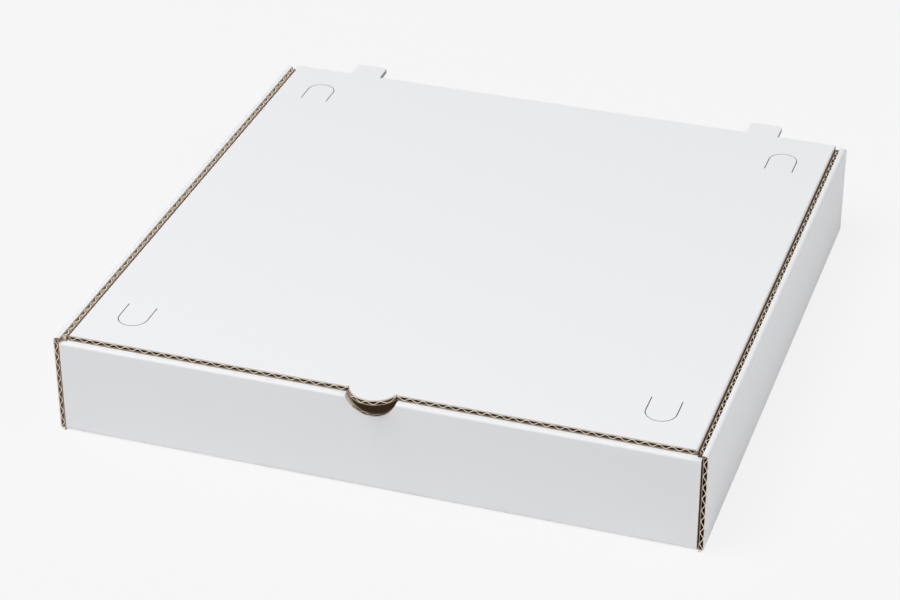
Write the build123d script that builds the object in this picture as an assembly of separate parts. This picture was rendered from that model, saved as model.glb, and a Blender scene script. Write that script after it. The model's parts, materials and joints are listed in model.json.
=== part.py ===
from build123d import *
import os

# Outside of the closed box, in millimetres. X runs along the front, +Y to the back, +Z up.
# The origin is the middle of the underside.
outer_width = 310.0
outer_depth = 298.0
outer_height = 51.0

# The board: B flute, with its flutes running from front to back in the flat sheet
board = 2.4
fold_radius = 2.3
upright_fold_radius = 0.5
crease_radius = 0.5
pinched_edge = 1.9
top_lip = 0.6
top_lip_height = 0.7
top_lip_corner = 0.25
rear_corner_radius = 4.0
rear_corner_crush = 0.1
layer_gap = 0.3
side_gap = 0.15
join_overlap = 0.4

# The board's inside, seen where an edge is cut across the flutes
outer_liner = 0.42
inner_liner = 0.3
medium = 0.32
flute_pitch = 6.0
flute_crest = 0.9
cell_depth = 2.5
cell_margin = 0.5

# Front wall: the sheet rolls over at the top and locks in the bottom
roll_edge = 1.2
roll_relief = 0.6
roll_side_gap = 0.5
lock_width = 30.0
lock_side_inset = 72.0
lock_gap = 0.4
right_fold_gap = 0.7
right_fold_gap_depth = 4.6
notch_half_width = 12.1
notch_depth = 8.6
notch_inner_step = 2.5

# Corner flaps of the front and back walls, standing inside the side walls
flap_top_drop = 1.0
flap_step_back = 1.0
flap_meeting_gap = 1.2

# Lid
lid_side_gap = 0.95
lid_setback = 3.4
lid_seat_gap = 0.3
lid_edge_crush = 1.2
lid_front_crush = 0.3
hinge_gap = 0.3
tongue_half_width = 11.2
tongue_reach = 7.8
tongue_root_cut = 1.4
tongue_root_cut_width = 0.5

# Stand-off tabs that stay in the lid's plane and leave vents in the back wall
standoff_width = 16.6
standoff_reach = 11.0
standoff_side_inset = 39.0
standoff_corner = 1.2
standoff_gap = 0.5

# Press-in tabs of the lid, each a U cut
press_width = 13.7
press_length = 17.7
press_side_inset = 22.4
press_inset_front = 34.8
press_inset_back = 36.3
cut_gap = 0.5
press_hinge_gap = 0.1

# Places that follow from the sizes above
half_width = outer_width / 2
half_depth = outer_depth / 2
wall_end = half_width - board - side_gap
flap_inner = wall_end - board
lid_half_width = flap_inner - lid_side_gap
lid_bottom = outer_height - board
lid_front = -half_depth + lid_setback
front_top = lid_bottom - lid_seat_gap
back_top = lid_bottom - hinge_gap
hinge_y = half_depth - board / 2
hinge_z = outer_height - board / 2
roll_back = 2 * board + layer_gap
lock_offset = flap_inner - lock_side_inset
standoff_offset = lid_half_width - standoff_side_inset
press_offset = lid_half_width - press_side_inset


def block(x_range, y_range, z_range):
    """A straight panel between three pairs of faces."""
    size = [high - low for low, high in (x_range, y_range, z_range)]
    middle = [(high + low) / 2 for low, high in (x_range, y_range, z_range)]
    return Pos(*middle) * Box(*size)


def rectangle(u_range, v_range):
    """A flat rectangle between two pairs of edges."""
    middle = Pos((u_range[0] + u_range[1]) / 2, (v_range[0] + v_range[1]) / 2)
    return middle * Rectangle(u_range[1] - u_range[0], v_range[1] - v_range[0])


def round_corner(shape, point, radius):
    """Round the one corner of a flat shape that lies at the point."""
    corner = shape.vertices().sort_by_distance(Vector(point[0], point[1], 0))[0]
    return fillet(corner, radius)


def along_x(section, half_length):
    """Extrude a section drawn in Y and Z to both sides of the middle."""
    return extrude(Plane.YZ * section, amount=half_length, both=True)


def along_y(section, y_range):
    """Extrude a section drawn in X and Z between two places along Y."""
    return Pos(0, y_range[1], 0) * extrude(Plane.XZ * section, amount=y_range[1] - y_range[0])


def edge_plane(origin, outward, white_side):
    """Plane of a raw edge. Its Y runs through the board, from the brown face to the white one."""
    normal = Vector(*outward)
    return Plane(origin=origin, x_dir=Vector(*white_side).cross(normal), z_dir=normal)


def flute_cell(place, on_inner_liner):
    """Section of one open flute, wide where it lies against a liner and narrow at the crest."""
    travel = board - outer_liner - inner_liner - medium
    run = flute_pitch / 2 - flute_crest
    wall = medium * (run**2 + travel**2) ** 0.5 / travel / 2
    narrow = flute_crest / 2 + run * medium / 2 / travel - wall
    wide = narrow + run
    if on_inner_liner:
        low, high, low_half, high_half = inner_liner, inner_liner + travel, wide, narrow
    else:
        high = board - outer_liner
        low, low_half, high_half = high - travel, narrow, wide
    corners = [
        (place - low_half, low),
        (place + low_half, low),
        (place + high_half, high),
        (place - high_half, high),
    ]
    return Polygon(*corners, align=None)


def flute_places(half_length):
    """Middle of each open flute along an edge, and whether it lies on the inner liner."""
    step = flute_pitch / 2
    count = int((half_length + step / 2 - cell_margin) / step)
    return [(index * step, index % 2 == 0) for index in range(-count, count + 1)]


def flute_cells(plane, half_length, ahead=board, level=None):
    """Cutters for the open flutes of a raw edge. The level gives a curved edge's height at each place."""
    cutters = []
    limit = half_length - cell_margin / 2
    window = rectangle((-limit, limit), (0, board))
    for place, on_inner_liner in flute_places(half_length):
        edge = level(place) if level else 0
        cell = flute_cell(place, on_inner_liner) & window
        section = plane * Pos(0, 0, edge - cell_depth) * cell
        cutters.append(extrude(section, amount=cell_depth + ahead))
    return cutters


def channel_section(top):
    """Section of the bottom and both side walls, with creased folds and pinched tops."""
    section = rectangle((-half_width, half_width), (0, top))
    hollow = rectangle((-half_width + board, half_width - board), (board, top + board))
    for side in (-1, 1):
        section = round_corner(section, (side * half_width, 0), fold_radius)
        section = round_corner(section, (side * half_width, top), pinched_edge)
        hollow = round_corner(hollow, (side * (half_width - board), board), crease_radius)
    section -= hollow
    for side in (-1, 1):
        lip_end = side * (half_width - board - top_lip)
        lip_range = sorted((lip_end, side * (half_width - board + join_overlap)))
        lip = rectangle(lip_range, (top - top_lip_height, top))
        for z in (top - top_lip_height, top):
            lip = round_corner(lip, (lip_end, z), top_lip_corner)
        section += lip
    return section


def bottom_and_sides():
    """The bottom and both side walls. The walls' rear top corners are rounded and slightly crushed."""
    far, top = half_depth - rear_corner_radius, outer_height - rear_corner_radius
    channel = along_y(channel_section(outer_height), (-half_depth, far))
    rear = along_y(channel_section(outer_height - rear_corner_crush), (far, half_depth))
    corner = rectangle((far, half_depth + board), (top, outer_height + board))
    rear -= along_x(corner - Pos(far, top) * Circle(rear_corner_radius), half_width + board)
    channel += rear
    for side in (-1, 1):
        fold_line = sorted((side * half_depth, side * (half_depth - fold_radius)))
        channel -= block((-half_width + board, half_width - board), fold_line, (0, board))
    return channel


def end_wall_section(top, top_radius):
    """Section of the front or back wall in its outer fold, its outer face at zero."""
    wall = rectangle((0, board), (0, top))
    heel = rectangle((0, fold_radius + board), (0, board))
    section = wall + heel
    section = round_corner(section, (0, 0), fold_radius)
    if top_radius > 0:
        section = round_corner(section, (0, top), top_radius)
    return section


def end_wall(side, top, top_radius):
    """An outer end wall with rounded upright folds at both ends. The side is -1 in front, 1 behind."""
    section = end_wall_section(top, top_radius)
    if side > 0:
        section = mirror(section, about=Plane.YZ)
    wall = along_x(Pos(side * half_depth, 0) * section, wall_end)
    plan = rectangle((-wall_end, wall_end), (-half_depth, half_depth))
    for end in (-1, 1):
        plan = round_corner(plan, (end * wall_end, side * half_depth), upright_fold_radius)
    return wall & extrude(plan, amount=top)


def corner_flap(side, end, wall_top):
    """A flap folded back from an end wall, standing against the inside of a side wall."""
    x_range = sorted((end * flap_inner, end * wall_end))
    wall_inner = half_depth - board
    low = board + layer_gap
    root = sorted((side * (wall_inner - flap_step_back), side * (wall_inner + join_overlap)))
    rest = sorted((side * flap_meeting_gap / 2, side * (wall_inner - flap_step_back)))
    flap = block(x_range, root, (low, wall_top))
    return flap + block(x_range, rest, (low, outer_height - flap_top_drop))


def flap_cells(side, end):
    """Open flutes along the raw top edge of a corner flap."""
    far = half_depth - board - flap_step_back
    near = flap_meeting_gap / 2
    origin = (end * flap_inner, side * (far + near) / 2, outer_height - flap_top_drop)
    ahead = (flap_top_drop - top_lip_height) / 2
    return flute_cells(edge_plane(origin, (0, 0, 1), (end, 0, 0)), (far - near) / 2, ahead)


def side_wall_cells(side, end):
    """Open flutes of a side wall's raw end, stacked from the bottom fold to the pinched top."""
    low = fold_radius / 2
    high = outer_height - pinched_edge / 2
    origin = (end * (half_width - board), side * half_depth, (low + high) / 2)
    return flute_cells(edge_plane(origin, (0, side, 0), (end, 0, 0)), (high - low) / 2)


def roll_over():
    """The front wall's top web and inner panel, with its two lock tabs."""
    front = -half_depth
    web_end = wall_end - board - roll_relief
    inner_end = flap_inner - roll_side_gap
    web = rectangle((front, front + roll_back), (front_top - board, front_top))
    web = round_corner(web, (front, front_top), roll_edge)
    web = round_corner(web, (front + roll_back, front_top), roll_edge)
    inner_y = (front + board + layer_gap, front + roll_back)
    inner = rectangle(inner_y, (board + layer_gap, front_top - board / 2))
    panel = along_x(web, web_end) + along_x(inner, inner_end)
    panel -= block((web_end, inner_end), inner_y, (front_top - board, front_top))
    panel -= block((-inner_end, -web_end), inner_y, (front_top - board, front_top))
    for lock in (-lock_offset, lock_offset):
        x_range = (lock - lock_width / 2, lock + lock_width / 2)
        panel += block(x_range, inner_y, (layer_gap, board + layer_gap))
    return panel


def lock_slots():
    """The slots in the bottom that the lock tabs go through."""
    front = -half_depth
    y_range = (front + board, front + roll_back + lock_gap)
    reach = lock_width / 2 + lock_gap
    slots = block((lock_offset - reach, lock_offset + reach), y_range, (-board, board))
    return slots + block((-lock_offset - reach, -lock_offset + reach), y_range, (-board, board))


def arc_radius(half_chord, rise):
    """Radius of an arc of the given half chord and rise."""
    return (half_chord**2 + rise**2) / (2 * rise)


def finger_notch(depth, y_range):
    """The round notch in the front wall's top, as a bar to cut with."""
    radius = arc_radius(notch_half_width, depth)
    return along_y(Pos(0, front_top - depth + radius) * Circle(radius), y_range)


def notch_cells(depth, brown_y, white_side):
    """Open flutes in the raw edge of the finger notch, in one layer of the front wall."""
    radius = arc_radius(notch_half_width, depth)
    plane = edge_plane((0, brown_y, front_top), (0, 0, 1), (0, white_side, 0))
    reach = notch_half_width - flute_pitch / 2
    return flute_cells(plane, reach, level=lambda u: radius - depth - (radius**2 - u**2) ** 0.5)


def vent_cells():
    """Open flutes in the lower edge of each vent."""
    cutters = []
    level = hinge_z - standoff_reach - board / 2 - standoff_gap
    for x in (-standoff_offset, standoff_offset):
        plane = edge_plane((x, half_depth - board, level), (0, 0, 1), (0, 1, 0))
        cutters += flute_cells(plane, standoff_width / 2)
    return cutters


def standoff_outline(extra):
    """A stand-off tab seen in the lid's plane, from the hinge line to its rounded tip."""
    reach = standoff_reach + board / 2 + extra
    half = standoff_width / 2 + extra
    outline = rectangle((-half, half), (0, reach))
    outline = round_corner(outline, (-half, reach), standoff_corner)
    return round_corner(outline, (half, reach), standoff_corner)


def vents():
    """The openings that the stand-off tabs leave in the back wall."""
    cutters = []
    for x in (-standoff_offset, standoff_offset):
        outline = mirror(standoff_outline(standoff_gap), about=Plane.XZ)
        cutters.append(along_y(Pos(x, hinge_z) * outline, (half_depth - 2 * board, half_depth + board)))
    return cutters


def make_tray():
    """The folded sheet without the lid."""
    tray = bottom_and_sides() - lock_slots()
    front = end_wall(-1, front_top, roll_edge)
    back = end_wall(1, back_top, 0)
    for cutter in vents():
        back -= cutter
    for end in (-1, 1):
        front += corner_flap(-1, end, front_top - roll_edge)
        back += corner_flap(1, end, back_top - roll_edge)
    gap_x = (wall_end - right_fold_gap, wall_end + board)
    gap_y = (-half_depth - board, -half_depth + right_fold_gap_depth)
    front -= block(gap_x, gap_y, (-board, outer_height))
    front -= finger_notch(notch_depth, (-half_depth - board, -half_depth + board))
    inner = roll_over()
    inner -= finger_notch(notch_depth, (-half_depth - board, -half_depth + board))
    inner_range = (-half_depth + board, -half_depth + roll_back + board)
    inner -= finger_notch(notch_depth + notch_inner_step, inner_range)
    tray = tray + front + back + inner
    cells = vent_cells()
    cells += notch_cells(notch_depth, -half_depth + board, -1)
    cells += notch_cells(notch_depth + notch_inner_step, -half_depth + board + layer_gap, 1)
    for end in (-1, 1):
        for side in (-1, 1):
            cells += flap_cells(side, end) + side_wall_cells(side, end)
    return tray - cells


def press_tab_places():
    """Name, hinge point and direction of each press-in tab."""
    places = []
    for row, y, toward in (
        ("front", lid_front + press_inset_front, -1),
        ("back", half_depth - press_inset_back, 1),
    ):
        for hand, x in (("left", -press_offset), ("right", press_offset)):
            places.append((f"press_tab_{row}_{hand}", x, y, toward))
    return places


def press_outline(x, y, toward, extra):
    """A press-in tab seen from above: straight legs from the hinge line and a round end."""
    radius = press_width / 2
    straight = press_length - radius
    legs = rectangle((-radius - extra, radius + extra), (0, straight))
    outline = legs + Pos(0, straight) * Circle(radius + extra)
    if toward < 0:
        outline = mirror(outline, about=Plane.XZ)
    return Pos(x, y) * outline


def round_end_cells(x, y, toward, radius, facing):
    """Open flutes in a round raw edge of the lid. Facing is 1 for a tab's own end, -1 for its window."""
    plane = edge_plane((x, y, lid_bottom), (0, toward * facing, 0), (0, 0, 1))
    reach = radius / 2 + cell_margin
    return flute_cells(plane, reach, level=lambda u: facing * ((radius**2 - u**2) ** 0.5 - radius))


def make_press_tab(x, y, toward):
    """One press-in tab, lying flush in the lid."""
    outline = press_outline(x, y + toward * press_hinge_gap, toward, 0)
    tab = Pos(0, 0, lid_bottom) * extrude(outline, amount=board)
    tip = y + toward * (press_hinge_gap + press_length)
    return tab - round_end_cells(x, tip, toward, press_width / 2, 1)


def lid_outline():
    """The lid's panel seen from above, with its thumb tongue."""
    outline = rectangle((-lid_half_width, lid_half_width), (lid_front, hinge_y))
    radius = arc_radius(tongue_half_width, tongue_reach)
    return outline + Pos(0, lid_front - tongue_reach + radius) * Circle(radius)


def tongue_root_cuts():
    """The short slits where the tongue leaves the lid's front edge."""
    slit = (tongue_half_width, tongue_half_width + tongue_root_cut_width)
    y_range = (lid_front - board, lid_front + tongue_root_cut)
    z_range = (lid_bottom - board, outer_height + board)
    right = block(slit, y_range, z_range)
    return [right, mirror(right, about=Plane.YZ)]


def tongue_edge(x):
    """How far the lid's front edge stands ahead of its straight line at a place along it."""
    if abs(x) >= tongue_half_width:
        return 0
    radius = arc_radius(tongue_half_width, tongue_reach)
    return (radius**2 - x**2) ** 0.5 - radius + tongue_reach


def lid_cells():
    """Open flutes of the lid's raw front edge and of its stand-off tabs."""
    plane = edge_plane((0, lid_front, lid_bottom), (0, -1, 0), (0, 0, 1))
    cutters = flute_cells(plane, lid_half_width - lid_edge_crush, board + tongue_reach, tongue_edge)
    tip = hinge_y + board / 2 + standoff_reach
    for x in (-standoff_offset, standoff_offset):
        plane = edge_plane((x, tip, lid_bottom), (0, 1, 0), (0, 0, 1))
        cutters += flute_cells(plane, standoff_width / 2)
    return cutters


def crush_edges(lid):
    """Round the lid's top along its sides, and a little along its front and tongue."""
    top = lid.edges().filter_by_position(Axis.Z, outer_height, outer_height)
    lid = fillet(top.filter_by(Axis.Y).filter_by(lambda edge: edge.length > tongue_reach), lid_edge_crush)
    for cut in tongue_root_cuts():
        lid -= cut
    top = lid.edges().filter_by_position(Axis.Z, outer_height, outer_height)
    front = top.filter_by(lambda edge: edge.center().Y < lid_front + crease_radius)
    return fillet(front.filter_by(lambda edge: edge.length > tongue_reach), lid_front_crush)


def make_lid():
    """The lid, one flat panel with a rounded nose along the hinge crease."""
    lid = crush_edges(Pos(0, 0, lid_bottom) * extrude(lid_outline(), amount=board))
    nose = Pos(hinge_y, hinge_z) * Circle(board / 2)
    lid += along_x(nose, lid_half_width)
    for x in (-standoff_offset, standoff_offset):
        outline = Pos(x, hinge_y) * standoff_outline(0)
        lid += Pos(0, 0, lid_bottom) * extrude(outline, amount=board)
    for name, x, y, toward in press_tab_places():
        outline = press_outline(x, y, toward, cut_gap)
        lid -= Pos(0, 0, lid_bottom - board) * extrude(outline, amount=3 * board)
    cells = lid_cells()
    for name, x, y, toward in press_tab_places():
        tip = y + toward * (press_length + cut_gap)
        cells += round_end_cells(x, tip, toward, press_width / 2 + cut_gap, -1)
    return lid - cells


os.makedirs("parts", exist_ok=True)
export_step(make_tray(), "parts/tray.step")
export_step(make_lid(), "parts/lid.step")
for name, x, y, toward in press_tab_places():
    export_step(make_press_tab(x, y, toward), f"parts/{name}.step")
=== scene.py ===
"""Looks of the pizza box: white-lined corrugated board, kraft inside, on a pale floor."""

import json
import math

import bmesh
import bpy
from mathutils import Matrix, Vector


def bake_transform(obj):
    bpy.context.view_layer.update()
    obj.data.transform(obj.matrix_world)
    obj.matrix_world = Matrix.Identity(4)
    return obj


MM = 0.001

# Sizes of the box that the looks refer to, the same as in the part's source
HALF_WIDTH = 155.0 * MM
HALF_DEPTH = 149.0 * MM
HEIGHT = 51.0 * MM
BOARD = 2.4 * MM
OUTER_LINER = 0.42 * MM
INNER_LINER = 0.3 * MM
CELL_DEPTH = 2.5 * MM
LAYER_GAP = 0.3 * MM
SIDE_GAP = 0.15 * MM
ROLL_EDGE = 1.2 * MM
RIGHT_FOLD_GAP = 0.7 * MM
TOP_LIP = 0.6 * MM
TOP_LIP_HEIGHT = 0.7 * MM
FLAP_TOP_DROP = 1.0 * MM
LID_SIDE_GAP = 0.95 * MM
LID_SETBACK = 3.4 * MM
LID_SEAT_GAP = 0.3 * MM
LID_EDGE_CRUSH = 1.2 * MM
LID_FRONT_CRUSH = 0.3 * MM
HINGE_GAP = 0.3 * MM
TONGUE_HALF_WIDTH = 11.2 * MM
TONGUE_REACH = 7.8 * MM
STANDOFF_WIDTH = 16.6 * MM
STANDOFF_REACH = 11.0 * MM
STANDOFF_SIDE_INSET = 39.0 * MM
STANDOFF_GAP = 0.5 * MM

# Places that follow from them
BACK_INNER = HALF_DEPTH - BOARD
SIDE_INNER = HALF_WIDTH - BOARD
FLAP_OUTER = SIDE_INNER - SIDE_GAP
FLAP_INNER = FLAP_OUTER - BOARD
FLAP_TOP = HEIGHT - FLAP_TOP_DROP
ROLL_BACK = 2 * BOARD + LAYER_GAP
LID_BOTTOM = HEIGHT - BOARD
WALL_TOP = LID_BOTTOM - LID_SEAT_GAP
LID_HALF_WIDTH = FLAP_INNER - LID_SIDE_GAP
LID_FRONT = -HALF_DEPTH + LID_SETBACK
LID_CELL_BACKS = LID_FRONT + CELL_DEPTH
TONGUE_RADIUS = (TONGUE_HALF_WIDTH**2 + TONGUE_REACH**2) / (2 * TONGUE_REACH)
TONGUE_CENTRE = LID_FRONT - TONGUE_REACH + TONGUE_RADIUS
STANDOFF_TIP = HALF_DEPTH + STANDOFF_REACH
STANDOFF_PLACE = LID_HALF_WIDTH - STANDOFF_SIDE_INSET
STANDOFF_CUT = STANDOFF_WIDTH / 2 + STANDOFF_GAP

# Room left when a face is told by its place: against rounding, at a curved edge, and for a liner
CLOSE = 0.03 * MM
CURVE_CLOSE = 0.15 * MM
LINER = 0.2 * MM

# Half the finger notch's width with a little room, which is more than its depth
NOTCH_REACH = 12.5 * MM

# Shares of a face's normal along an axis, from the slightest lean to a face square to that axis
HINTS = 0.02
LEANS = 0.05
SLANTS = 0.2
TILTS = 0.35
FACES = 0.5
SQUARE = 0.999

# Liner over the creases: its thickness, and how far it stands proud
STRIP = 0.1 * MM
PROUD = 0.02 * MM

# The same over a press-in tab's crease: its reach on each side, and half its length
PRESS_CREASE_REACH = 1.2 * MM
PRESS_CREASE_HALF = 6.8 * MM

# Steps in which it bends: over a tight crease, round the fold or as far down the wall, and at a flat end
CREASE_STEPS = 16
TURN_STEPS = 12
END_STEPS = 2

# How far the flutes are pressed shut at the ends of raw edges, and how far back from the lid's front edge
# its top is darkened: painted shade of the edge's rounding, with the crushed liner's brown
LID_PRESSED = 1.5 * MM
SIDE_PRESSED = 1.2 * MM
SCUFF_AND_SHADE_REACH = 0.65 * MM

# How far a soft border reaches before and after the meeting of two layers, as shares of the board
BORDER_BEFORE = 0.02
BORDER_AFTER = 0.04

# Where the darkest and the lightest fibres lie in the noise
DARKEST = 0.3
LIGHTEST = 0.7

# The photograph's camera, fitted to the straight edges of the box: degrees, metres, millimetres of lens
CAMERA_AZIMUTH = 18.548
CAMERA_ELEVATION = 31.276
CAMERA_ROLL = -0.147
CAMERA_DISTANCE = 1.3338
CAMERA_TARGET = (-0.005444, -0.019936, 0.025)
CAMERA_LENS = 109.18
SENSOR_WIDTH = 36.0

# Colours, linear
WHITE = (0.872, 0.878, 0.893, 1)
KRAFT = (0.36, 0.25, 0.155, 1)
CUT_BROWN_LINER = (0.44, 0.35, 0.26, 1)
CUT_FLUTE = (0.95, 0.84, 0.71, 1)
CUT_WHITE_LINER = (0.80, 0.74, 0.66, 1)
# Inside the open flutes: the medium's brown, painted darker for the shade in the cells
FLUTE_PAINTED_SHADE = (0.28, 0.20, 0.13, 1)
# A lighter copy with painted light, for the cells of the left corner flaps
FLUTE_LEFT_PAINTED_LIGHT = (0.66, 0.59, 0.49, 1)
# A lighter copy with painted light, for the cells at the finger notch
FLUTE_NOTCH_PAINTED_LIGHT = (0.42, 0.34, 0.25, 1)
SLIT = (0.46, 0.46, 0.46, 1)
SLIT_FLUTE = (0.62, 0.58, 0.53, 1)
PRESSED_END = (0.26, 0.19, 0.13, 1)
# Greyish brown at the lid's front edge: painted shade of its rounding, mixed with the crushed liner's brown
SCUFF_AND_PAINTED_SHADE = (0.42, 0.36, 0.31, 1)
FLOOR = (0.90, 0.90, 0.90, 1)
BACKGROUND = (0.928, 0.928, 0.928, 1)
SKY = (1, 1, 1, 1)

# Painted glow: weak emission that lightens the paper in the shade, where no lamp reaches; stronger on the
# end edges and the left flaps' cells
PAINTED_GLOW = 0.06
PAINTED_GLOW_LID = 0.05
PAINTED_GLOW_END_EDGE = 0.15
PAINTED_GLOW_FLUTE_LEFT = 0.16
PAINTED_GLOW_FLUTE_NOTCH = 0.05

# The room: an even sky, and a floor that shows mostly as the background but keeps the shadow
SKY_STRENGTH = 0.17
FLOOR_SIZE = 12.0
FLOOR_DROP = 0.1 * MM
BACKGROUND_SHARE = 0.9


def set_sockets(node, values):
    """Set a node's own sockets from a dictionary of their names and values."""
    for name, value in values.items():
        node.inputs[name].default_value = value


def new_material(name, values):
    """A material with a Principled shader; returns it with its node tree and the shader."""
    material = bpy.data.materials.new(name)
    material.use_nodes = True
    tree = material.node_tree
    shader = tree.nodes["Principled BSDF"]
    set_sockets(shader, values)
    return material, tree, shader


def calculate(tree, operation, *values):
    """One step of arithmetic on sockets or numbers."""
    node = tree.nodes.new("ShaderNodeMath")
    node.operation = operation
    for socket, value in zip(node.inputs, values):
        if isinstance(value, float):
            socket.default_value = value
        else:
            tree.links.new(value, socket)
    return node.outputs["Value"]


def share_between(tree, value, low, high):
    """From 0 to 1 as the value goes from low to high."""
    node = tree.nodes.new("ShaderNodeMapRange")
    set_sockets(node, {"From Min": low, "From Max": high})
    tree.links.new(value, node.inputs["Value"])
    return node.outputs["Result"]


def object_place(tree):
    """The place on the object as three sockets, named by axis."""
    place = tree.nodes.new("ShaderNodeTexCoord")
    split = tree.nodes.new("ShaderNodeSeparateXYZ")
    tree.links.new(place.outputs["Object"], split.inputs["Vector"])
    return split.outputs


def noise(tree, scale, detail, stretch=(1, 1, 1)):
    """Noise in the object's own coordinates."""
    place = tree.nodes.new("ShaderNodeTexCoord")
    mapping = tree.nodes.new("ShaderNodeMapping")
    texture = tree.nodes.new("ShaderNodeTexNoise")
    set_sockets(mapping, {"Scale": stretch})
    set_sockets(texture, {"Scale": scale, "Detail": detail})
    tree.links.new(place.outputs["Object"], mapping.inputs["Vector"])
    tree.links.new(mapping.outputs["Vector"], texture.inputs["Vector"])
    return texture.outputs["Fac"]


def ramp(tree, factor, stops):
    """A colour ramp over the factor, from (position, colour) pairs in rising order."""
    node = tree.nodes.new("ShaderNodeValToRGB")
    elements = node.color_ramp.elements
    elements.remove(elements[-1])
    for index, (position, colour) in enumerate(stops):
        element = elements.new(position) if index else elements[0]
        element.position = position
        element.color = colour
    tree.links.new(factor, node.inputs["Fac"])
    return node.outputs["Color"]


def shade(colour, factor):
    """The colour made lighter or darker."""
    return tuple(part * factor for part in colour[:3]) + (1,)


def mottle(tree, fibres, colour, dark, light):
    """The colour made darker and lighter by the fibres."""
    return ramp(tree, fibres, [(DARKEST, shade(colour, dark)), (LIGHTEST, shade(colour, light))])


def blend_colour(tree, factor, first, second):
    """From the first colour, a socket, to the second, a constant, as the factor goes from 0 to 1."""
    mix = tree.nodes.new("ShaderNodeMix")
    mix.data_type = "RGBA"
    tree.links.new(factor, mix.inputs["Factor"])
    tree.links.new(first, mix.inputs["A"])
    mix.inputs["B"].default_value = second
    return mix.outputs["Result"]


def bump(tree, shader, height, distance, strength):
    """Raise the shader's surface by the height."""
    node = tree.nodes.new("ShaderNodeBump")
    set_sockets(node, {"Distance": distance, "Strength": strength})
    tree.links.new(height, node.inputs["Height"])
    tree.links.new(node.outputs["Normal"], shader.inputs["Normal"])


def scuff_and_painted_shade(tree):
    """From 0 to 1 over the last stretch of the lid's top before its front edge and its tongue's edge, where
    the painted shade of the rounded edge is laid.
    """
    place = object_place(tree)
    straight = calculate(tree, "SUBTRACT", place["Y"], LID_FRONT)
    ahead = calculate(tree, "SUBTRACT", place["Y"], TONGUE_CENTRE)
    squares = [calculate(tree, "MULTIPLY", side, side) for side in (place["X"], ahead)]
    reach = calculate(tree, "SQRT", calculate(tree, "ADD", *squares))
    tongue = calculate(tree, "SUBTRACT", TONGUE_RADIUS, reach)
    depth = calculate(tree, "MAXIMUM", straight, tongue)
    return share_between(tree, depth, SCUFF_AND_SHADE_REACH, 0.0)


def across_range(tree, axis, low, high):
    """From 0 to 1 as the distance from the middle along an axis goes from low to high."""
    distance = calculate(tree, "ABSOLUTE", object_place(tree)[axis])
    return share_between(tree, distance, low, high)


def make_white(name, scuffed_and_shaded=False):
    """The white outer liner: matt, with a faint tooth, and, where asked, greyish brown toward the lid's
    front edge: painted shade of the edge's rounding, mixed with the crushed liner's brown.
    """
    material, tree, shader = new_material(name, {"Roughness": 0.62, "Specular IOR Level": 0.25})
    fibres = noise(tree, scale=900.0, detail=3.0)
    colour = mottle(tree, fibres, WHITE, dark=0.985, light=1.0)
    if scuffed_and_shaded:
        colour = blend_colour(tree, scuff_and_painted_shade(tree), colour, SCUFF_AND_PAINTED_SHADE)
    tree.links.new(colour, shader.inputs["Base Color"])
    bump(tree, shader, fibres, distance=0.03 * MM, strength=0.4)
    return material


def make_kraft():
    """The brown inner liner with long fibres, and a weak painted glow that lightens it in the shade inside
    the box.
    """
    material, tree, shader = new_material(
        "kraft_liner", {"Roughness": 0.85, "Specular IOR Level": 0.2, "Emission Color": KRAFT,
                        "Emission Strength": PAINTED_GLOW})
    fibres = noise(tree, scale=700.0, detail=6.0, stretch=(1, 0.3, 1))
    tree.links.new(mottle(tree, fibres, KRAFT, dark=0.9, light=1.08), shader.inputs["Base Color"])
    bump(tree, shader, fibres, distance=0.05 * MM, strength=0.5)
    return material


def raw_paper(colour, painted_glow):
    """The Principled shader's values for cut paper: very matt, with a painted glow that lightens it in the
    shade.
    """
    return {"Roughness": 0.9, "Specular IOR Level": 0.15, "Emission Color": colour,
            "Emission Strength": painted_glow}


def make_flute(name, brown, painted_glow=0.0):
    """The inside of open flutes, in a brown and with a painted glow that lightens it in the shade."""
    material, tree, shader = new_material(name, raw_paper(brown, painted_glow))
    fibres = noise(tree, scale=1500.0, detail=4.0)
    tree.links.new(mottle(tree, fibres, brown, dark=0.75, light=1.2), shader.inputs["Base Color"])
    return material


def make_edge(name, axis, brown, white, flute=CUT_FLUTE, white_liner=CUT_WHITE_LINER, end=None, painted_glow=0.0):
    """The board's cut edge, coloured layer by layer from its brown face to its white one.

    Beyond its end, an axis and a place along it, the flutes are pressed shut and dark.
    """
    # The emission here is a painted glow that lightens the cut paper in the shade.
    material, tree, shader = new_material(name, raw_paper(flute, painted_glow))
    low = INNER_LINER / BOARD
    high = 1 - OUTER_LINER / BOARD
    stops = [(low - BORDER_BEFORE, CUT_BROWN_LINER), (low + BORDER_AFTER, flute),
             (high - BORDER_BEFORE, flute), (high + BORDER_AFTER, white_liner)]
    colour = ramp(tree, across_range(tree, axis, brown, white), stops)
    if end:
        end_axis, start = end
        pressed = across_range(tree, end_axis, start, start + LINER)
        colour = blend_colour(tree, pressed, colour, PRESSED_END)
    tree.links.new(colour, shader.inputs["Base Color"])
    bump(tree, shader, noise(tree, scale=1500.0, detail=4.0), distance=0.08 * MM, strength=0.5)
    return material


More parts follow.
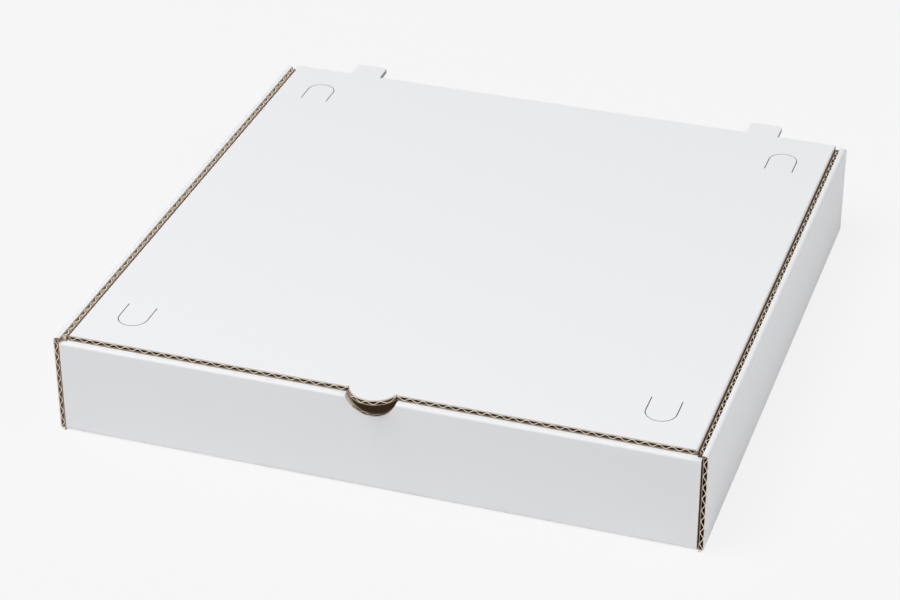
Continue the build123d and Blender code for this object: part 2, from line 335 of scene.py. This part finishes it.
def make_materials():
    """Every finish of the sheet, by the kind of surface that has it."""
    lid_layers = ("Z", LID_BOTTOM, HEIGHT)
    side_layers = ("X", SIDE_INNER, HALF_WIDTH)
    flap_layers = ("X", FLAP_INNER, FLAP_OUTER)
    wall_layers = ("Y", BACK_INNER, HALF_DEPTH)
    return {
        "white": make_white("white_liner"),
        "kraft": make_kraft(),
        "flute": make_flute("flute_inside", FLUTE_PAINTED_SHADE),
        "flute_left": make_flute("flute_inside_left", FLUTE_LEFT_PAINTED_LIGHT, PAINTED_GLOW_FLUTE_LEFT),
        "flute_notch": make_flute("flute_inside_notch", FLUTE_NOTCH_PAINTED_LIGHT, PAINTED_GLOW_FLUTE_NOTCH),
        "edge_lid": make_edge("cut_edge_lid", *lid_layers, end=("X", LID_HALF_WIDTH - LID_PRESSED),
                              painted_glow=PAINTED_GLOW_LID),
        "slit": make_edge("cut_slit", *lid_layers, flute=SLIT_FLUTE, white_liner=SLIT),
        "edge_tab": make_edge("cut_edge_tab", *lid_layers, flute=SLIT, white_liner=SLIT),
        "edge_side": make_edge("cut_edge_side", *side_layers, end=("Z", HEIGHT - SIDE_PRESSED)),
        "edge_flap": make_edge("cut_edge_flap", *flap_layers),
        # The end edges, at the finger notch and the vents, get a stronger painted glow that lightens them
        # in the shade
        "edge_end": make_edge("cut_edge_end", *wall_layers, white_liner=WHITE,
                              painted_glow=PAINTED_GLOW_END_EDGE),
    }


def inside(spread, low, high):
    """True if a face lies wholly between the two liners of a board."""
    return spread[0] > low + LINER and spread[1] < high - LINER


def outward(centre, normal):
    """The share of a face's normal that points away from the middle along X."""
    return normal.x * math.copysign(1, centre.x)


def lid_edge(x):
    """How far forward the lid's front edge stands at a distance from the middle."""
    if x >= TONGUE_HALF_WIDTH:
        return LID_FRONT
    return TONGUE_CENTRE - math.sqrt(TONGUE_RADIUS**2 - x**2)


def lid_kind(centre, normal, spread):
    """Which surface of the sheet a face of the lid or of a press-in tab belongs to."""
    x, y, z = abs(centre.x), centre.y, centre.z
    upright = abs(normal.z) < LEANS
    between_liners = inside(spread["z"], LID_BOTTOM, HEIGHT)
    if normal.z > TILTS and z > HEIGHT - LID_FRONT_CRUSH - CLOSE:
        return "white"
    if normal.z > LEANS and x > LID_HALF_WIDTH - LID_EDGE_CRUSH:
        return "white"
    if normal.z < -FACES and z < LID_BOTTOM + CLOSE:
        return "kraft"
    if BACK_INNER - CLOSE < y < HALF_DEPTH + CLOSE and abs(normal.x) < FACES:
        return "white" if normal.y > TILTS else "kraft"
    if upright and x < LID_HALF_WIDTH - CLOSE:
        if abs(x - STANDOFF_PLACE) < STANDOFF_CUT and y > HALF_DEPTH:
            return "edge_tab" if abs(normal.x) > SLANTS else "edge_lid"
        if LID_CELL_BACKS - CLOSE < y < BACK_INNER and not between_liners:
            return "slit"
    at_front = abs(y - lid_edge(x)) < CURVE_CLOSE
    at_tip = abs(y - STANDOFF_TIP) < CLOSE
    if at_front or at_tip or not between_liners:
        return "edge_lid"
    at_end = y < LID_CELL_BACKS - CLOSE or y > HALF_DEPTH
    return "flute" if at_end or not upright else "edge_lid"


def side_kind(centre, normal, spread, in_lip):
    """The same for a side wall and its top fold."""
    y = abs(centre.y)
    if HALF_DEPTH - y < CLOSE:
        return "edge_side"
    start = HALF_DEPTH - CELL_DEPTH - CLOSE
    at_end = spread["y"][0] > start or spread["y"][1] < -start
    if at_end and inside(spread["x"], SIDE_INNER, HALF_WIDTH):
        return "flute"
    return "kraft" if outward(centre, normal) < -FACES and not in_lip else "white"


def flap_kind(centre, normal, spread):
    """The same for a corner flap."""
    raw = abs(normal.z) > FACES or abs(normal.y) > FACES
    if raw or inside(spread["x"], FLAP_INNER, FLAP_OUTER):
        if centre.z > FLAP_TOP - CLOSE:
            return "edge_flap"
        # The left flaps' cells get the lighter copy, painted light on that side
        return "flute" if centre.x > 0 else "flute_left"
    return "white" if outward(centre, normal) > 0 else "kraft"


def front_kind(centre, normal, spread):
    """The same for the front wall, its top fold and its inner panel."""
    x, y, z = abs(centre.x), centre.y, centre.z
    outer = (-HALF_DEPTH, -BACK_INNER)
    inner = (-BACK_INNER + LAYER_GAP, -HALF_DEPTH + ROLL_BACK)
    # Painted shade: the faces round the fold at the front wall's right end, white paper in reality, are
    # given the brown kraft so the gap there looks dark
    if centre.x > FLAP_OUTER - RIGHT_FOLD_GAP - CLOSE:
        return "kraft"
    if x < NOTCH_REACH and z > WALL_TOP - NOTCH_REACH - CELL_DEPTH:
        if inside(spread["y"], *outer) or inside(spread["y"], *inner):
            # The notch's cells get the lighter copy with painted light, its cut edges the painted glow
            return "flute_notch" if abs(normal.y) > SLANTS or normal.z > SQUARE else "edge_end"
    if normal.y < -HINTS and abs(normal.x) < SQUARE and y < outer[1] - CLOSE:
        return "white"
    if normal.z > HINTS and z > WALL_TOP - ROLL_EDGE - CLOSE and x > NOTCH_REACH:
        return "white"
    if normal.y > FACES and y > inner[1] - CLOSE:
        return "white"
    if abs(normal.x) > SLANTS and x > SIDE_INNER - 2 * BOARD:
        return "white"
    return "kraft" if abs(normal.y) > SQUARE else "edge_end"


def back_kind(centre, normal, spread):
    """The same for the back wall and its vents."""
    z = centre.z
    if normal.z > FACES and z > WALL_TOP - CLOSE:
        return "flute"
    if inside(spread["y"], BACK_INNER, HALF_DEPTH) and HEIGHT / 2 < z < WALL_TOP - CLOSE:
        return "flute" if abs(normal.y) > SLANTS or normal.z > SQUARE else "edge_end"
    if normal.y > LEANS or outward(centre, normal) > SLANTS:
        return "white"
    return "kraft" if normal.y < -FACES else "edge_end"


def tray_kind(centre, normal, spread):
    """Which surface of the sheet a face of the tray belongs to."""
    x, y, z = abs(centre.x), centre.y, centre.z
    in_lip = x > SIDE_INNER - TOP_LIP - CLOSE and z > HEIGHT - TOP_LIP_HEIGHT - CLOSE
    if in_lip or x > SIDE_INNER - CLOSE:
        return side_kind(centre, normal, spread, in_lip)
    if x > FLAP_INNER - CLOSE and abs(y) < BACK_INNER - CLOSE and z > BOARD + CLOSE:
        return flap_kind(centre, normal, spread)
    rounded_under = normal.z < -LEANS and z < BOARD - CLOSE and abs(y) > BACK_INNER - CLOSE
    if rounded_under or z < CLOSE:
        return "white"
    if y < -HALF_DEPTH + ROLL_BACK + CLOSE:
        return front_kind(centre, normal, spread)
    if y > BACK_INNER - CLOSE:
        return back_kind(centre, normal, spread)
    return "kraft"


def dress(node, kind_of, materials):
    """Give each face of a CAD node the finish of its side of the sheet."""
    kinds = list(materials)
    node.data.materials.clear()
    for material in materials.values():
        node.data.materials.append(material)
    points = node.data.vertices
    for face in node.data.polygons:
        corners = [points[index].co for index in face.vertices]
        spread = {}
        for axis in "xyz":
            places = [getattr(corner, axis) for corner in corners]
            spread[axis] = (min(places), max(places))
        face.material_index = kinds.index(kind_of(face.center, face.normal, spread))


def divide(points, counts):
    """The points with each stretch between them cut into equal steps."""
    divided = [points[0]]
    for (y0, z0), (y1, z1), count in zip(points, points[1:], counts):
        for step in range(1, count + 1):
            divided.append((y0 + (y1 - y0) * step / count, z0 + (z1 - z0) * step / count))
    return divided


def fix_normals(mesh):
    """Point every face of a closed mesh outwards."""
    form = bmesh.new()
    form.from_mesh(mesh)
    bmesh.ops.recalc_face_normals(form, faces=form.faces)
    form.to_mesh(mesh)
    form.free()


def liner_strip(name, section, x_low, x_high, material):
    """The liner where it crosses a crease: a thin sheet along X that bends between two bodies.

    Its upper skin follows the section, a list of (y, z). It bends from start to end.
    """
    count = len(section)
    under = []
    for index, (y, z) in enumerate(section):
        before = section[max(index - 1, 0)]
        after = section[min(index + 1, count - 1)]
        along = Vector((after[0] - before[0], after[1] - before[1])).normalized()
        under.append((y + along.y * STRIP, z - along.x * STRIP))
    ring = section + under[::-1]
    size = len(ring)
    points = [(x, y, z) for x in (x_low, x_high) for y, z in ring]
    faces = []
    for here in range(size):
        following = (here + 1) % size
        faces.append((here, following, following + size, here + size))
    for index in range(count - 1):
        back = size - 1 - index
        quad = (index, index + 1, back - 1, back)
        faces.append(quad)
        faces.append([corner + size for corner in quad])
    mesh = bpy.data.meshes.new(name)
    mesh.from_pydata(points, [], faces)
    mesh.materials.append(material)
    fix_normals(mesh)
    strip = bpy.data.objects.new(name, mesh)
    bpy.context.scene.collection.objects.link(strip)
    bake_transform(strip)


def lid_creases(joint, white, kraft):
    """White liner outside and brown liner inside, over the crease between the back wall and the lid."""
    hinge_y, hinge_z = joint["pos_m"][1:]
    reach = 2 * BOARD
    radius = BOARD / 2 + PROUD
    angles = [math.radians(90 * step / TURN_STEPS) for step in range(TURN_STEPS + 1)]
    nose = [(hinge_y + radius * math.sin(angle), hinge_z + radius * math.cos(angle)) for angle in angles]
    # Outside, from the lid's top round the fold and down the back wall
    outer = [(hinge_y - reach, hinge_z + radius)] + nose
    outer += divide([nose[-1], (nose[-1][0], hinge_z - reach)], [TURN_STEPS])[1:]
    # Inside, up the back wall and across the corner to the lid's underside
    corner_y = BACK_INNER - PROUD
    corner_z = LID_BOTTOM - PROUD
    low_z = corner_z - 2 * HINGE_GAP
    inner = divide([(corner_y, corner_z - BOARD), (corner_y, low_z), (corner_y - HINGE_GAP, corner_z),
                    (corner_y - BOARD, corner_z)], [END_STEPS, CREASE_STEPS, END_STEPS])
    slot_inner = STANDOFF_PLACE - STANDOFF_CUT
    slot_outer = STANDOFF_PLACE + STANDOFF_CUT
    spans = {"left": (-LID_HALF_WIDTH, -slot_outer), "middle": (-slot_inner, slot_inner),
             "right": (slot_outer, LID_HALF_WIDTH)}
    for place, (x_low, x_high) in spans.items():
        liner_strip(f"crease_outside_{place}", outer, x_low, x_high,
                    white)
        liner_strip(f"crease_inside_{place}", inner, x_low, x_high,
                    kraft)


def press_crease(joint, white):
    """White liner over the crease of a press-in tab."""
    x, y = joint["pos_m"][:2]
    # A tab that turns down about +X reaches from its crease to the front, one about -X to the back
    top = HEIGHT + PROUD
    section = divide([(y - PRESS_CREASE_REACH, top), (y + PRESS_CREASE_REACH, top)], [CREASE_STEPS])
    liner_strip(f"crease_{joint['name']}", section, x - PRESS_CREASE_HALF, x + PRESS_CREASE_HALF,
                white)


def make_floor():
    """A pale floor that shows mostly as the photograph's background and keeps the shadow."""
    bpy.ops.mesh.primitive_plane_add(size=FLOOR_SIZE, location=(0, 0, -FLOOR_DROP))
    floor = bpy.context.object
    floor.name = "floor"
    material, tree, shader = new_material(
        "floor", {"Base Color": FLOOR, "Roughness": 1.0, "Specular IOR Level": 0.0})
    glow = tree.nodes.new("ShaderNodeEmission")
    set_sockets(glow, {"Color": BACKGROUND, "Strength": 1.0})
    ray = tree.nodes.new("ShaderNodeLightPath").outputs
    seen = calculate(tree, "MAXIMUM", ray["Is Camera Ray"], ray["Is Glossy Ray"])
    seen = calculate(tree, "MAXIMUM", seen, ray["Is Transmission Ray"])
    mix = tree.nodes.new("ShaderNodeMixShader")
    tree.links.new(calculate(tree, "MULTIPLY", seen, BACKGROUND_SHARE), mix.inputs["Fac"])
    tree.links.new(shader.outputs["BSDF"], mix.inputs[1])
    tree.links.new(glow.outputs["Emission"], mix.inputs[2])
    tree.links.new(mix.outputs["Shader"], tree.nodes["Material Output"].inputs["Surface"])
    floor.data.materials.append(material)


def make_lamp(name, size, power, place):
    """A square area lamp at a place, turned to the box."""
    lamp = bpy.data.lights.new(name, "AREA")
    lamp.size = size
    lamp.energy = power
    holder = bpy.data.objects.new(name, lamp)
    bpy.context.scene.collection.objects.link(holder)
    holder.visible_camera = False
    holder.location = place
    holder.rotation_euler = (-Vector(place)).to_track_quat("-Z", "Y").to_euler()


def make_lights():
    """Soft studio light: a dim even world, a wide lamp overhead and weak ones on the right and behind."""
    world = bpy.data.worlds.new("studio")
    bpy.context.scene.world = world
    world.use_nodes = True
    set_sockets(world.node_tree.nodes["Background"], {"Color": SKY, "Strength": SKY_STRENGTH})
    make_lamp("overhead", size=1.7, power=58.5, place=(-0.95, -0.86, 2.35))
    make_lamp("side", size=1.0, power=9.3, place=(1.5, -0.05, 1.1))
    make_lamp("behind", size=0.7, power=1.9, place=(-0.6, 1.7, 0.4))


def make_camera():
    """The photograph's view."""
    azimuth = math.radians(CAMERA_AZIMUTH)
    elevation = math.radians(CAMERA_ELEVATION)
    roll = math.radians(CAMERA_ROLL)
    back = Vector((math.sin(azimuth) * math.cos(elevation), -math.cos(azimuth) * math.cos(elevation),
                   math.sin(elevation)))
    right = Vector((math.cos(azimuth), math.sin(azimuth), 0))
    up = back.cross(right)
    turned_right = right * math.cos(roll) + up * math.sin(roll)
    turned_up = up * math.cos(roll) - right * math.sin(roll)
    place = Matrix((turned_right, turned_up, back)).transposed().to_4x4()
    place.translation = Vector(CAMERA_TARGET) + back * CAMERA_DISTANCE
    data = bpy.data.cameras.new("camera")
    data.lens = CAMERA_LENS
    data.sensor_width = SENSOR_WIDTH
    camera = bpy.data.objects.new("camera", data)
    bpy.context.scene.collection.objects.link(camera)
    camera.matrix_world = place
    bpy.context.scene.camera = camera


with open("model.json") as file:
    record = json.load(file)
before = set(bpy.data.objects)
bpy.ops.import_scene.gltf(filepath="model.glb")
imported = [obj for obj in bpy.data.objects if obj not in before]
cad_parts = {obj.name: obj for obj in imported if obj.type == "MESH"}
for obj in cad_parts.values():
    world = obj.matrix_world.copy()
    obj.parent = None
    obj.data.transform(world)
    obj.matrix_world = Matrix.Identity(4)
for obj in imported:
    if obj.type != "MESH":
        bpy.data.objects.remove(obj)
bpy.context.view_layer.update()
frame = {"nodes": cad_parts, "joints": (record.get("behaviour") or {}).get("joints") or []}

materials = make_materials()
lid_materials = dict(materials, white=make_white("white_liner_lid", scuffed_and_shaded=True))
for name, node in frame["nodes"].items():
    if name == "tray":
        dress(node, tray_kind, materials)
    else:
        dress(node, lid_kind, lid_materials)

for joint in frame["joints"]:
    if joint["name"] == "lid_hinge":
        lid_creases(joint, materials["white"], materials["kraft"])
    else:
        press_crease(joint, materials["white"])

make_floor()
make_lights()
make_camera()
bpy.context.scene.view_settings.view_transform = "Standard"
